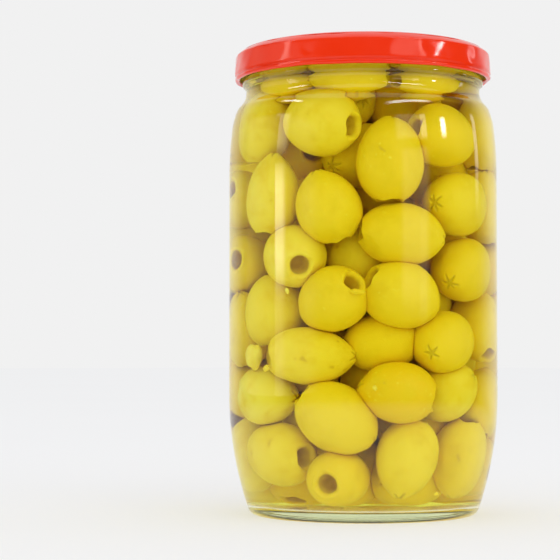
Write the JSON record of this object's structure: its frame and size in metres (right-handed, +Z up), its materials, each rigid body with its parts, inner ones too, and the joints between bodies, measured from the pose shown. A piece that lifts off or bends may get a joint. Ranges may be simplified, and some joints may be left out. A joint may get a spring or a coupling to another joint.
{
  "type": "jar of olives",
  "caption": "Round clear glass jar of pitted yellow-green olives in brine, with a drawn-in heel, a lug finish and a plain red twist-off steel cap.",
  "frame": {"origin": "on the axis, at the height of the bearing ring that the jar stands on", "axes": "+Z up along the jar's axis to the cap; the jar is round, so X and Y only place the thread leads and lugs"},
  "size_m": [0.0888, 0.0888, 0.1541],
  "materials": {
    "clear_glass": "clear, faintly green container glass",
    "red_lacquer": "glossy red lacquer on tinplate",
    "olives_in_brine": "wet yellow-green olives in a pale yellow brine"
  },
  "bodies": {
    "root": {"jar": "clear_glass", "lid": "red_lacquer", "filling": "olives_in_brine"}
  },
  "joints": []
}
